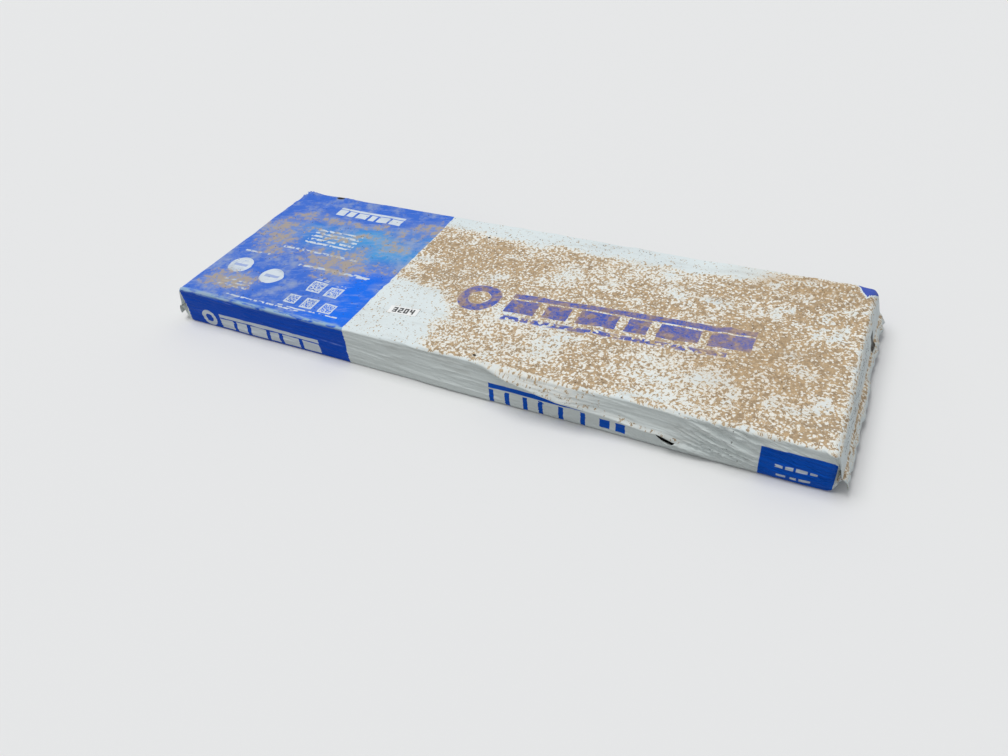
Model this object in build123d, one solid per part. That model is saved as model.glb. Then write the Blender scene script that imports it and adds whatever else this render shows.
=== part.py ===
from build123d import *
import math
import os

# A wrapped bundle of laminated roofing shingles, lying flat.
# X runs along the bundle, Y across it and Z up. The origin is the middle of the underside.
# All sizes are in millimetres.

# One shingle: a slotted overlay with a plain backing strip bonded behind its slotted half.
shingle_length = 1000.0
shingle_width = 337.0
overlay_thickness = 2.2
backing_thickness = 1.6
# What is left between two backing strips that lie side by side.
strip_gap = 7.0
slot_depth = 143.0
slot_flare = 7.0
# The slots are cut a little past the butt edge.
slot_overrun = 1.0
tooth_shares = (150, 95, 170, 110, 140)
slot_shares = (60, 80, 55, 75, 65)

# The stack: every other shingle is turned over, so that two backing strips lie side by side
# between two overlays and the stack stays level.
shingle_count = 20
granule_gap = 0.1
# How far the shingles lie out of line, and the angle by which each one's slip turns on.
stagger = 1.0
stagger_turn_x = 2.4
stagger_turn_y = 1.7

# The wrap: a film tube, closed at each end by a flattened and sealed fin.
film = 0.6
top_ease = 0.3
side_ease = 0.3
edge_radius = 3.0
nose_reach = 9.0
fin_height_share = 0.42
tuck_depth = 42.0
tuck_start = 2.5
tuck_rim = 1.5
# The tucks are drawn past the sides of the wrap, so that they are open there.
tuck_overrun = 3.0
fin_reach = 9.0
fin_drop = 15.0
fin_knee_reach = 0.5
fin_knee_drop = 0.12
fin_ruffle = 3.0
fin_waves = 3.5
fin_ripple_pace = 1.7
fin_sections = 19
back_seam_width = 25.0
back_seam_groove = 1.0

# The slit torn in the front of the film.
tear_length = 27.0
tear_width = 3.4
tear_from_left = 809.0
tear_height = 20.0
tear_tilt = 14.0

# The paper number sticker on the top of the wrap, placed from the wrap's front left corner.
sticker_length = 48.0
sticker_width = 18.0
sticker_thickness = 0.2
sticker_from_left = 388.0
sticker_from_front = 69.0
sticker_turn = 5.0

# What follows from these sizes.
backing_width = (shingle_width - strip_gap) / 2
pair_pitch = 2 * overlay_thickness + backing_thickness + 2 * granule_gap
floor_film = 2 * film
inner_radius = edge_radius - film
pairs, odd_shingle = divmod(shingle_count, 2)
stack_height = pairs * pair_pitch - granule_gap
if odd_shingle:
    stack_height += overlay_thickness + backing_thickness + granule_gap
stack_floor = floor_film + top_ease
wrap_height = stack_floor + stack_height + top_ease + film
# The room beside the stack that keeps its sharp edges inside the rounded edges of the wrap.
corner_room = inner_radius - math.sqrt(inner_radius**2 - (inner_radius - top_ease) ** 2)
side_room = side_ease + stagger + corner_room
wrap_width = shingle_width + 2 * (side_room + film)
body_half = shingle_length / 2 + side_room + film
fin_line = fin_height_share * wrap_height


def slotted_overlay(shift):
    """The overlay, with tapered slots between its teeth, open at the butt edge."""
    plate = Pos(0, 0, overlay_thickness / 2) * Box(
        shingle_length, shingle_width, overlay_thickness
    )
    scale = shingle_length / (sum(tooth_shares) + sum(slot_shares))
    root = slot_depth - shingle_width / 2
    mouth = -shingle_width / 2 - slot_overrun
    slot_left = -shingle_length / 2
    for number in range(len(tooth_shares)):
        pick = (number + shift) % len(tooth_shares)
        slot_left += tooth_shares[pick] * scale
        slot_right = slot_left + slot_shares[pick] * scale
        outline = Polygon(
            (slot_left - slot_flare, mouth),
            (slot_right + slot_flare, mouth),
            (slot_right - slot_flare, root),
            (slot_left + slot_flare, root),
            align=None,
        )
        plate -= extrude(outline, overlay_thickness)
        slot_left = slot_right
    return plate


def shingle(shift):
    """One laminated shingle, face down, with its butt edge towards the front."""
    backing = Pos(
        0, (backing_width - shingle_width) / 2, overlay_thickness + backing_thickness / 2
    ) * Box(shingle_length, backing_width, backing_thickness)
    return slotted_overlay(shift) + backing


def stacked_shingle(number):
    """The shingle of that number from the bottom of the stack, in its place."""
    pair, turned_over = divmod(number, 2)
    floor = stack_floor + pair * pair_pitch
    slip_x = stagger * math.sin(stagger_turn_x * number)
    slip_y = stagger * math.cos(stagger_turn_y * number)
    piece = shingle(number)
    if turned_over:
        top = floor + pair_pitch - granule_gap
        return Pos(slip_x, slip_y, top) * Rot(180, 0, 0) * piece
    return Pos(slip_x, slip_y, floor) * piece


def envelope(inset, floor):
    """The closed outline of the wrap without its tucks, drawn in by the inset."""
    half = body_half - inset
    tip = body_half + nose_reach - inset
    top = wrap_height - inset
    side = Plane.XZ * Polygon(
        (-half, floor), (half, floor), (tip, fin_line), (half, top),
        (-half, top), (-tip, fin_line),
        align=None,
    )
    corners = [v for v in side.vertices() if abs(abs(v.X) - half) < 1e-6]
    body = extrude(fillet(corners, edge_radius - inset), wrap_width / 2 - inset, both=True)
    rims = [e for e in body.edges() if abs(e.center().Y) > wrap_width / 4]
    return fillet(rims, edge_radius - inset)


def tetrahedron(points):
    """The solid between four points, the last of them its apex."""
    base = make_face(Polyline(*points[:3], close=True))
    return loft([base.faces()[0], Vertex(*points[3])])


def swollen(points, thickness):
    """The four points of a tetrahedron, moved so that each face stands out by the thickness."""
    areas = []
    for left_out in range(4):
        a, b, c = [Vector(*p) for n, p in enumerate(points) if n != left_out]
        areas.append((b - a).cross(c - a).length / 2)
    a, b, c, d = [Vector(*p) for p in points]
    volume = abs((b - a).cross(c - a).dot(d - a)) / 6
    centre = (a * areas[0] + b * areas[1] + c * areas[2] + d * areas[3]) / sum(areas)
    growth = 1 + thickness * sum(areas) / (3 * volume)
    return [tuple(centre + (Vector(*p) - centre) * growth) for p in points]


def tuck(end, side, growth):
    """The fold where a side of the tube is pushed in between its top and bottom flaps."""
    y = side * wrap_width / 2
    apex = (end * (body_half + tuck_start), y - side * tuck_depth, fin_line)
    mouth = [
        (end * body_half, y, edge_radius),
        (end * body_half, y, wrap_height - edge_radius),
        (end * (body_half + nose_reach - tuck_rim), y, fin_line),
    ]
    over = 1 + tuck_overrun / tuck_depth
    far = [tuple(a + (m - a) * over for m, a in zip(point, apex)) for point in mouth]
    points = far + [apex]
    return tetrahedron(swollen(points, growth) if growth else points)


def fin():
    """The crumpled seal of the right end: it leaves the nose level, bends and hangs down."""
    root = body_half + nose_reach - 2 * film
    sections = []
    for number in range(fin_sections):
        share = number / (fin_sections - 1)
        y = (share - 0.5) * (wrap_width - 2 * edge_radius)
        wave = math.sin(2 * math.pi * fin_waves * share)
        ripple = math.cos(2 * math.pi * fin_waves * fin_ripple_pace * share)
        reach = fin_reach + fin_ruffle * wave / 2
        drop = fin_drop + fin_ruffle * ripple
        knee = (root + fin_knee_reach * reach, fin_line - fin_knee_drop * drop)
        hem = (root + reach, fin_line - drop)
        outline = [
            (root, fin_line + film), (knee[0] + film, knee[1] + film),
            (hem[0] + film, hem[1]), (hem[0] - film, hem[1]),
            (knee[0] - film, knee[1] - film), (root, fin_line - film),
        ]
        points = [(x, y, z) for x, z in outline]
        sections.append(make_face(Polyline(*points, close=True)).faces()[0])
    return loft(sections, ruled=True)


def back_seam():
    """The lengthwise seal under the bundle: its flap lies in a shallow relief, edge free."""
    room = back_seam_width + back_seam_groove
    relief = Pos(0, back_seam_groove / 2, film / 2) * Box(
        2 * (body_half - edge_radius), room, film
    )
    flap = Pos(0, 0, film / 2) * Box(
        2 * (body_half - edge_radius) - 2 * back_seam_groove, back_seam_width, film
    )
    return relief, flap


def tear():
    """The room of the slit, which goes right through the film."""
    outline = Polygon(
        (-tear_length / 2, 0), (-tear_length / 6, -tear_width / 2),
        (tear_length / 2, 0), (tear_length / 6, tear_width / 2),
        align=None,
    )
    place = Pos(tear_from_left - body_half, -wrap_width / 2, tear_height)
    return place * Rot(90, 0, 0) * Rot(0, 0, -tear_tilt) * extrude(outline, 2 * film, both=True)


def wrap():
    """The film: a closed skin with tucked ends, a fin at each end and a seam underneath."""
    skin = envelope(0, 0)
    hollow = envelope(film, floor_film)
    for end in (-1, 1):
        for side in (-1, 1):
            skin -= tuck(end, side, 0)
            hollow -= tuck(end, side, film)
    skin -= hollow
    relief, flap = back_seam()
    skin -= relief
    skin += flap
    for turn in (0, 180):
        skin += Rot(0, 0, turn) * fin()
    return skin - tear()


def number_sticker():
    """The small paper sticker, flat on the top of the wrap."""
    place = Pos(
        sticker_from_left - body_half,
        sticker_from_front - wrap_width / 2,
        wrap_height + sticker_thickness / 2,
    )
    return place * Rot(0, 0, sticker_turn) * Box(
        sticker_length, sticker_width, sticker_thickness
    )


def write_parts():
    """Writes one file for each piece."""
    os.makedirs("parts", exist_ok=True)
    pieces = {"film_wrap": wrap(), "number_sticker": number_sticker()}
    for number in range(shingle_count):
        pieces[f"shingle_{number + 1:02d}"] = stacked_shingle(number)
    for name, piece in pieces.items():
        export_step(piece, f"parts/{name}.step")


write_parts()
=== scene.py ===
import math

import bpy
import numpy as np
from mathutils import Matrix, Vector
from mathutils.bvhtree import BVHTree


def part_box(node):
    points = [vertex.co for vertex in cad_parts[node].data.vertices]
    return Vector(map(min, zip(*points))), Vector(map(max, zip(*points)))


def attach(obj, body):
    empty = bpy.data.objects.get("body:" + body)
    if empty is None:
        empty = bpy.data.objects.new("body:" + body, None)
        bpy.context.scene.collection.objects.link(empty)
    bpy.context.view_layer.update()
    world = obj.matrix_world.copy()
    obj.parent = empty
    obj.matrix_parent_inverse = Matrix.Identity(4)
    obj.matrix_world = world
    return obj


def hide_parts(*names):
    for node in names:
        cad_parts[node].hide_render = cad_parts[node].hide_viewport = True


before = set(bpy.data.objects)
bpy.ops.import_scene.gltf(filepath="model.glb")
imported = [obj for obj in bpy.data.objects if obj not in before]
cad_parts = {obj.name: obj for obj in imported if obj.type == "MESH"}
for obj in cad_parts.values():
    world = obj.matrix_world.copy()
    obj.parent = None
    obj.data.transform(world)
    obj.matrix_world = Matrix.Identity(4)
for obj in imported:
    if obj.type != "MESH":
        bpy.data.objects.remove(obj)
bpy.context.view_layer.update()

MM = 0.001
WRAP_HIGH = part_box("film_wrap")[1]
HEIGHT = WRAP_HIGH.z
HALF_WIDTH = WRAP_HIGH.y
# The film's flat sides end this far from the middle, 3.1 mm beyond the shingles.
BODY_HALF = 0.5031
# The ends: the film rounds off, is folded to a nose, and hangs down from there as a fin.
ROUNDING = 7 * MM
NOSE = 9 * MM
NOSE_BULGE = 0.8 * MM
FIN_LINE = 0.42 * HEIGHT
FIN_REACH = 9 * MM
FIN_DROP = 15 * MM

# The film's own sizes.
FILM_THICKNESS = 0.2 * MM
EDGE_RADIUS = 3.6 * MM
# How far a rounded edge lies inside its corner, as a share of the radius.
ARC_INSET = 0.29
PLY_GAP = 0.45 * MM
# The seam underneath, the ramp that leads up to it, and the heights of its plies.
SEAM_WIDTH = 25 * MM
SEAM_RAMP = 8 * MM
SEAM_BULGE = 0.4 * MM
SEAM_LEVELS = (0.25 * MM, 0.7 * MM, 1.15 * MM)
# The columns stand a little closer towards the right end, where the creases are.
BODY_COLUMNS = 300
CROWDING = 0.12
# What the film is thinned to before it gets its thickness.
FILM_TRIANGLES = 94000
# How far the film stays above the floor at least.
LOWEST = 0.05 * MM

# The sizes that creases, stains and print are placed by, in mm.
LENGTH = 2 * BODY_HALF / MM
WIDTH = 2 * HALF_WIDTH / MM
TALL = HEIGHT / MM
END_PANEL = 38.0
PANEL_RIGHT = 323.0

# The film's map: its coordinates in mm, x from the left end and s from the top's front edge,
# made to fit between 0 and 1.
MAP_SPAN = 1300.0
MAP_LEFT = 100.0
MAP_BELOW = 450.0


def smooth(low, high, value):
    """0 below low, 1 above high and an even ease between them."""
    share = np.clip((value - low) / (high - low), 0, 1)
    return share * share * (3 - 2 * share)


def noise(x, y, seed):
    """Smooth noise between -1 and 1, the same in each run."""
    side = 128
    table = np.random.default_rng(seed).uniform(-1, 1, (side, side))
    column, row = np.floor(x).astype(int), np.floor(y).astype(int)
    u, v = x - column, y - row
    u, v = u**3 * (u * (6 * u - 15) + 10), v**3 * (v * (6 * v - 15) + 10)
    near, far = column % side, (column + 1) % side
    under, over = row % side, (row + 1) % side
    low = table[near, under] * (1 - u) + table[far, under] * u
    high = table[near, over] * (1 - u) + table[far, over] * u
    return low * (1 - v) + high * v


def ridges(x, y, seed):
    """Noise with sharp crests, from 0 to 1, as tight creases in film have."""
    return (1 - np.abs(noise(x, y, seed))) ** 3


def waves(x, y, *layers):
    """A sum of noises, each given by its height, its pitches along x and y, and its seed."""
    total = 0
    for height, pitch_x, pitch_y, seed in layers:
        total = total + height * noise(x / pitch_x, y / pitch_y, seed)
    return total


def within(value, start, end):
    """1 between two zones, 0 outside them and an even ease in them."""
    return smooth(*start, value) * smooth(*end, value)


# The film's path round the girth


def straight(start, end, count):
    """Points along a line, without its end."""
    share = np.linspace(0, 1, count, endpoint=False)[:, None]
    return np.array(start) * (1 - share) + np.array(end) * share


def arc(centre, start, turn, count):
    """Points along a rounded edge, without its end; its angles are in degrees."""
    angle = np.radians(start + turn * np.linspace(0, 1, count, endpoint=False))
    return np.array(centre) + EDGE_RADIUS * np.c_[np.cos(angle), np.sin(angle)]


def girth():
    """The film's way round the stack, as (y, z), from one edge of the sheet to the other.

    The last number of each run is how many points it has.
    """
    r = EDGE_RADIUS
    y, z = HALF_WIDTH - r, HEIGHT - r
    outer, middle, inner = SEAM_LEVELS
    ramp = SEAM_WIDTH + SEAM_RAMP
    runs = [
        straight((SEAM_WIDTH, outer), (0, outer), 4),
        straight((0, outer), (-y, outer), 18),
        arc((-y, r + outer), -90, -90, 5),
        straight((-HALF_WIDTH, r + outer), (-HALF_WIDTH, z), 60),
        arc((-y, z), 180, -90, 8),
        straight((-y, HEIGHT), (y, HEIGHT), 112),
        arc((y, z), 90, -90, 8),
        straight((HALF_WIDTH, z), (HALF_WIDTH, r + outer), 46),
        arc((y, r + outer), 0, -90, 5),
        straight((y, outer), (ramp, outer), 14),
        straight((ramp, outer), (SEAM_WIDTH, inner), 2),
        straight((SEAM_WIDTH, inner), (0, inner), 3),
        np.array([(-SEAM_BULGE, (inner + middle) / 2)]),
        straight((0, middle), (SEAM_WIDTH, middle), 3),
        np.array([(SEAM_WIDTH, middle)]),
    ]
    return np.concatenate(runs)


def along_sheet(path):
    """The distance of each point along the sheet, in mm, 0 at the top's front edge."""
    steps = np.linalg.norm(np.diff(path, axis=0), axis=1) / MM
    reached = np.concatenate([[0], np.cumsum(steps)])
    corner = np.array([-HALF_WIDTH, HEIGHT]) + ARC_INSET * EDGE_RADIUS * np.array([1, -1])
    return reached - reached[np.argmin(np.linalg.norm(path - corner, axis=1))]


def eased_curve(controls, per_span):
    """A smooth curve near its control points, sampled: the first axis runs along it."""
    mids = [controls[0]]
    mids += [(a + b) / 2 for a, b in zip(controls[1:-2], controls[2:-1])]
    mids += [controls[-1]]
    rows = []
    for start, bend, end, count in zip(mids[:-1], controls[1:-1], mids[1:], per_span):
        for share in np.linspace(0, 1, count, endpoint=False):
            rows.append(
                start * (1 - share) ** 2 + 2 * bend * share * (1 - share) + end * share**2
            )
    rows.append(controls[-1])
    return np.array(rows)


# What belongs to the side and the top, in edge radii, and to the foot and the fold, as shares of
# the height.
SIDE_RADII, TOP_RADII = 0.9, 1.01
FOOT_SHARE, FOLD_SHARE = 0.06, 0.02
# The plies of the fin from the top down; the side is tucked in as two of them, with a fold.
TOP_PLY, UPPER_PLY, FOLD_PLY, LOWER_PLY, FLOOR_PLY = 0.0, 1.0, 1.5, 2.0, 3.0
FIN_NARROWING = 0.995


def fin_plies(path):
    """For each point of the girth: where it lies across the fin, and in which ply."""
    y, z = path[:, 0], path[:, 1]
    level = np.clip(z / HEIGHT, 0, 1)
    share = FIN_LINE / HEIGHT
    low_depth = np.minimum(level, share) * HEIGHT
    high_depth = (1 - level) / (1 - share) * FIN_LINE
    depth = np.where(level < share, low_depth, high_depth)
    on_side = np.abs(y) > HALF_WIDTH - EDGE_RADIUS * SIDE_RADII
    on_top = z > HEIGHT - EDGE_RADIUS * TOP_RADII
    across = np.where(on_side, np.sign(y) * (HALF_WIDTH - depth), y * FIN_NARROWING)
    side_ply = np.where(level < share, LOWER_PLY, UPPER_PLY)
    flat_ply = np.where(level < 0.5, FLOOR_PLY, TOP_PLY)
    ply = np.where(on_side & ~on_top & (level > FOOT_SHARE), side_ply, flat_ply)
    fold = on_side & (np.abs(level - share) < FOLD_SHARE)
    return across, np.where(fold, FOLD_PLY, ply)


# The fin's path, as shares of its reach and of its drop.
FIN_KNEE, FIN_BEND = (0.45, 0.1), (0.8, 0.55)
# The fin's ruffles, crimps and hem: pitches and sizes in mm.
RUFFLE_PITCH, CRIMP_PITCH, HEM_PITCH = 26, 9, 34
RUFFLE_REACH, CRIMP_REACH = 2.6, 1.1
RUFFLE_SWAY, CRIMP_SWAY = 1.6, 1.0
HEM_WAVE = 2.2
FIN_SEED = 40
END_STEPS = (7, 7, 8, 5, 5)


def end_rows(path, end):
    """The rows of the film from the end of its flat sides, over the end and down the fin."""
    across, ply = fin_plies(path)
    lift = (FOLD_PLY - ply) * PLY_GAP
    seed = FIN_SEED + end
    along, level = across / MM, np.zeros(len(path))
    ruffle = noise(along / RUFFLE_PITCH, level, seed)
    crimp = noise(along / CRIMP_PITCH, level + 5, seed)
    hem_wave = noise(along / HEM_PITCH, level + 9, seed)
    reach = FIN_REACH + (RUFFLE_REACH * ruffle + CRIMP_REACH * crimp) * MM
    drop = FIN_DROP + HEM_WAVE * hem_wave * MM
    sway = (RUFFLE_SWAY * ruffle - CRIMP_SWAY * crimp) * MM
    ring = np.c_[np.full(len(path), BODY_HALF), path]
    inside = ring - np.array([ROUNDING, 0, 0])
    root_x = BODY_HALF + NOSE
    root = np.c_[np.full(len(path), root_x), across, FIN_LINE + lift]
    middle = (ring + root) / 2
    middle[:, 0] += NOSE_BULGE
    out, down = FIN_KNEE
    knee = np.c_[root_x + out * reach, across, FIN_LINE - down * drop + sway + lift]
    out, down = FIN_BEND
    bend = np.c_[root_x + out * reach + lift, across, FIN_LINE - down * drop + sway]
    hem = np.c_[root_x + reach - sway + lift, across, FIN_LINE - drop]
    rows = eased_curve([inside, ring, middle, root, knee, bend, hem], END_STEPS)
    rows[:, :, 0] *= end
    return rows


def film_grid():
    """The film as a grid of points, with the distances along the sheet both ways in mm."""
    path = girth()
    around = along_sheet(path)
    right, left = end_rows(path, 1), end_rows(path, -1)[::-1]
    even = np.linspace(-1, 1, BODY_COLUMNS + 2)[1:-1]
    places = (BODY_HALF - ROUNDING) * (even + CROWDING * (1 - even * even))
    body = np.array([np.c_[np.full(len(path), x), path] for x in places])
    points = np.concatenate([left, body, right])
    top_row = np.argmin(np.abs(path[:, 0]) + np.abs(path[:, 1] - HEIGHT))
    steps = np.linalg.norm(np.diff(points[:, top_row], axis=0), axis=1) / MM
    length = np.concatenate([[0], np.cumsum(steps)])
    length -= length[len(left)] - (BODY_HALF + places[0]) / MM
    return points, length, around


def normals_of(points):
    """The outward direction at each point of the grid."""
    along = np.gradient(points, axis=0)
    round_it = np.gradient(points, axis=1)
    normal = np.cross(along, round_it)
    normal /= np.linalg.norm(normal, axis=2, keepdims=True) + 1e-12
    middle_row = points.shape[1] // 2
    if normal[len(points) // 2, middle_row, 2] < 0:
        normal = -normal
    return normal


# The creases, as heights in mm over the flat film. A layer is its height, its pitches along and
# across the side, and its seed. A zone is where something starts and where it is full.

LEVEL_CREASES = ((1.1, 90, 5.5, 1), (0.7, 50, 3.6, 2))
LEVEL_SLOPES = (0.05, 0.09)
LEVEL_UP = (0, 12)
SIDE_WAVES = ((1.1, 130, 60, 3), (0.8, 70, 22, 9))
SLANT_CREASES = (4.4, 140, 6.0, 6)
SLANT_BENDS = (0.6, 60, 30, 4)
SLANT_SLOPE = 0.28
SLANT_ALONG, SLANT_UP = (790, 880), (2, 22)
# The film lies smoother over the printed square, by this share.
CALM_SHARE = 0.65
CALM_ALONG, CALM_UP = (905, 940), (54, 44)
FOOT_HEIGHT, FOOT_SEED = 1.2, 5
FOOT_PITCH, FOOT_LEAN, FOOT_LENGTH = 17, 9, 26
FOOT_ALONG, FOOT_UP = (400, 470), (30, 8)


def side_creases(x, z):
    """A long side: fine level creases, slanting ones by the right end and low waves."""
    fine = 0
    for (height, along, across, seed), slope in zip(LEVEL_CREASES, LEVEL_SLOPES):
        fine = fine + height * ridges(x / along, (z + slope * x) / across, seed)
    height, along, across, seed = SLANT_CREASES
    slanted = (z + SLANT_SLOPE * x) / across + waves(x, z, SLANT_BENDS)
    corner = smooth(*SLANT_ALONG, x) * smooth(*SLANT_UP, z)
    corner *= 1 - CALM_SHARE * smooth(*CALM_ALONG, x) * smooth(*CALM_UP, z)
    corner_creases = height * corner * ridges(x / along, slanted, seed)
    foot = FOOT_HEIGHT * smooth(*FOOT_UP, z) * smooth(*FOOT_ALONG, x)
    fans = foot * ridges(x / FOOT_PITCH + z / FOOT_LEAN, z / FOOT_LENGTH, FOOT_SEED)
    return fine * smooth(*LEVEL_UP, z) + waves(x, z, *SIDE_WAVES) + corner_creases + fans


# The long fold on the front: the points of its crest, where it rises, turns and ends, how far it
# stands out, how much less after its turn, and how it fades.
LONG_FOLD_X = (535, 585, 605, 640, 675, 710, 750, 796, 828, 860, 892)
LONG_FOLD_Z = (66, 60, 56, 47, 41, 35, 31, 25, 17, 9, 3)
FOLD_RISE, FOLD_TURN, FOLD_END = (530, 600), (660, 750), (885, 815)
FOLD_HEIGHT, FOLD_SINK = 12.0, 7.0
SLOPE_FADE = 4.5
CREST_FADE_UP, CREST_FADE_DOWN = 6, 3.5


def long_fold(x, z):
    """The fold down the front side: a slope from the top edge, and then a crest to the tear."""
    crest = np.interp(x, LONG_FOLD_X, LONG_FOLD_Z)
    over = z - crest
    below = np.exp(-((over / SLOPE_FADE) ** 2))
    slope = np.where(over > 0, np.clip(1 - over / np.maximum(TALL - crest, 1), 0, 1), below)
    under_crest = np.exp(-((over / CREST_FADE_DOWN) ** 2))
    narrow = np.where(over > 0, np.exp(-over / CREST_FADE_UP), under_crest)
    turned = smooth(*FOLD_TURN, x)
    size = within(x, FOLD_RISE, FOLD_END) * (FOLD_HEIGHT - FOLD_SINK * turned)
    return size * (slope * (1 - turned) + narrow * turned)


TOP_LIFT = 0.7
TOP_WAVES = ((0.7, 150, 110, 11), (0.45, 48, 40, 12))
# A fan of creases: height, rays, shift of its centre, length, reach and seed.
RIGHT_FAN = (6.0, 8, 12, 160, 150, 13)
LEFT_FAN = (3.5, 6, 10, 150, 90, 14)
RIGHT_SQUEEZE, RIGHT_START = 1.3, (4, 40)
REAR_CREASES, REAR_BENDS, REAR_FADE = (1.8, 120, 5.5, 16), (0.4, 70, 40, 15), (48, 8)
FRONT_CREASES, FRONT_FADE = (0.8, 55, 4.0, 17), (16, 2)


def corner_fan(x, y, distance, height, rays, shift, length, reach, seed):
    """Creases that fan out from a corner, where x and y are 0."""
    angle = np.arctan2(y, x + shift)
    return height * ridges(angle * rays, distance / length, seed) * np.exp(-distance / reach)


def top_creases(x, y):
    """The top: low waves, creases that fan out from its rear corners, and creased edges."""
    far_x, far_y = LENGTH - x, WIDTH - y
    distance = np.hypot(far_x, far_y * RIGHT_SQUEEZE)
    fans = corner_fan(far_x, far_y, distance, *RIGHT_FAN) * smooth(*RIGHT_START, distance)
    fans += corner_fan(x, far_y, np.hypot(x, far_y), *LEFT_FAN)
    height, along, across, seed = REAR_CREASES
    rear = height * ridges(x / along, far_y / across + waves(x, y, REAR_BENDS), seed)
    height, along, across, seed = FRONT_CREASES
    front = height * ridges(x / along, y / across, seed)
    edges = rear * smooth(*REAR_FADE, far_y) + front * smooth(*FRONT_FADE, y)
    return TOP_LIFT + waves(x, y, *TOP_WAVES) + fans + edges


# Where each side of the bundle starts and ends along s, and where its body gives way to its ends.
FRONT_SPAN = ((6, -1), (-TALL - 1, -TALL + 7))
TOP_SPAN = ((-5, 3), (WIDTH + 5, WIDTH - 3))
REAR_SPAN = ((WIDTH - 5, WIDTH + 2), (WIDTH + TALL, WIDTH + TALL - 8))
BODY_END = (4, -6)
END_SPAN = ((-2, 6), (END_PANEL + 8, END_PANEL - 4))
# The rear side's creases are the front's, squeezed and shifted.
REAR_SCALE, REAR_SHIFT_X, REAR_SHIFT_Z = 0.9, 110, 31
GATHERS, GATHER_WAVES = (0.9, 13, 45, 21), (0.5, 40, 18, 22)


def sheet_places(length, around):
    """Each point's place on the sheet: x and s in mm."""
    return np.repeat(length[:, None], len(around), 1), np.repeat(around[None, :], len(length), 0)


def crease_height(points, length, around):
    """How far each point of the film stands out from its plain place, in mm."""
    x, s = sheet_places(length, around)
    y, z = points[:, :, 1] / MM, points[:, :, 2] / MM
    height = within(s, *FRONT_SPAN) * (side_creases(x, z) + long_fold(x, z))
    height += within(s, *TOP_SPAN) * top_creases(x, s)
    shifted = side_creases(x * REAR_SCALE + REAR_SHIFT_X, z + REAR_SHIFT_Z)
    height += within(s, *REAR_SPAN) * shifted
    beyond = np.maximum(-x, x - LENGTH)
    size, along, across, seed = GATHERS
    gathers = size * ridges(y / along, beyond / across, seed) + waves(y, beyond, GATHER_WAVES)
    return height * smooth(*BODY_END, beyond) + within(beyond, *END_SPAN) * gathers


# The tear in the front side

TEAR_START, TEAR_END = (796.0, 23.3), (822.0, 16.7)
TEAR_WIDTH = 4.8
# How full its outline is, how far up and down the film is drawn with it, and how many columns
# beyond its ends are eased.
TEAR_FULLNESS = 0.7
TEAR_PULL = 14.0
TEAR_MARGIN = 3
END_EASE = 0.5
# The upper lip lies in and the lower one stands out, by these shares of the gape.
UPPER_LIP_IN, LOWER_LIP_OUT = 0.3, 0.4
# How deep the front side is.
FRONT_DEPTH = 7 * MM


def open_tear(points, length):
    """Draws the grid apart along the tear, and returns the columns and row that it opens."""
    heights = points[:, :, 2] / MM
    x0, z0 = TEAR_START
    x1, z1 = TEAR_END
    columns = np.where((length > x0 - 1) & (length < x1 + 1))[0]
    middle = columns[len(columns) // 2]
    side = np.where(points[middle, :, 1] < -HALF_WIDTH + FRONT_DEPTH)[0]
    line = np.interp(length[middle], (x0, x1), (z0, z1))
    row = side[np.argmin(np.abs(heights[middle, side] - line))]
    for column in range(columns[0] - TEAR_MARGIN, columns[-1] + TEAR_MARGIN + 1):
        share = np.clip((length[column] - x0) / (x1 - x0), 0, 1)
        open_here = 0 < share < 1
        gape = TEAR_WIDTH * math.sin(math.pi * share) ** TEAR_FULLNESS if open_here else 0.0
        shift = z0 + (z1 - z0) * share - (heights[column, row] + heights[column, row + 1]) / 2
        ease = 1.0 if open_here else END_EASE
        for index in side:
            off = heights[column, index] - heights[column, row]
            pull = max(0.0, 1 - abs(off) / TEAR_PULL) * ease
            spread = gape / 2 * pull * (1 if index > row else -1)
            lip = UPPER_LIP_IN if index > row else -LOWER_LIP_OUT
            points[column, index, 2] += (shift * pull + spread) * MM
            points[column, index, 1] += gape * lip * pull**4 * MM
    return columns, row


# Mud, dust and fading, and the painted highlight on the long fold, kept on the film's points. The
# patches are ellipses on the sheet in mm: centre, half sizes and softness.

STAINS_AND_HIGHLIGHT = ("mud", "wash", "dust", "fold", "azure", "cyan")
DUST_PATCHES = (
    (62, 46, 55, 26, 0.4), (85, 150, 40, 18, 0.6), (80, 278, 30, 14, 0.6),
    (180, 264, 85, 11, 0.6), (228, 150, 70, 34, 0.5), (60, 205, 45, 45, 0.8),
    (175, 214, 78, 9, 0.6), (262, 232, 32, 16, 0.6), (300, 286, 36, 26, 0.8),
)
AZURE_PATCH = (292, 62, 60, 78, 0.5)
CYAN_PATCH = (232, 216, 104, 36, 0.7)
# The last number of a mud patch is how thick the mud is there.
MUD_BASE = 0.74
MUD_PATCHES = (
    (430, 245, 140, 44, 0.3, 0.85), (355, 172, 52, 44, 0.4, 0.82),
    (366, 60, 96, 94, 0.12, 0.08), (540, 50, 88, 50, 0.3, 0.6),
    (560, 98, 70, 22, 0.5, 0.42), (580, 232, 36, 34, 0.5, 0.3),
    (630, 62, 20, 54, 0.6, 0.32), (790, 52, 62, 50, 0.5, 0.42),
    (752, 242, 26, 15, 0.6, 0.3), (900, 190, 100, 90, 0.4, 0.8),
    (925, 60, 70, 50, 0.4, 0.74), (700, 272, 90, 22, 0.6, 0.5),
    (560, 340, 330, 42, 0.25, 0.05), (950, 318, 60, 26, 0.5, 0.74),
)
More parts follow.
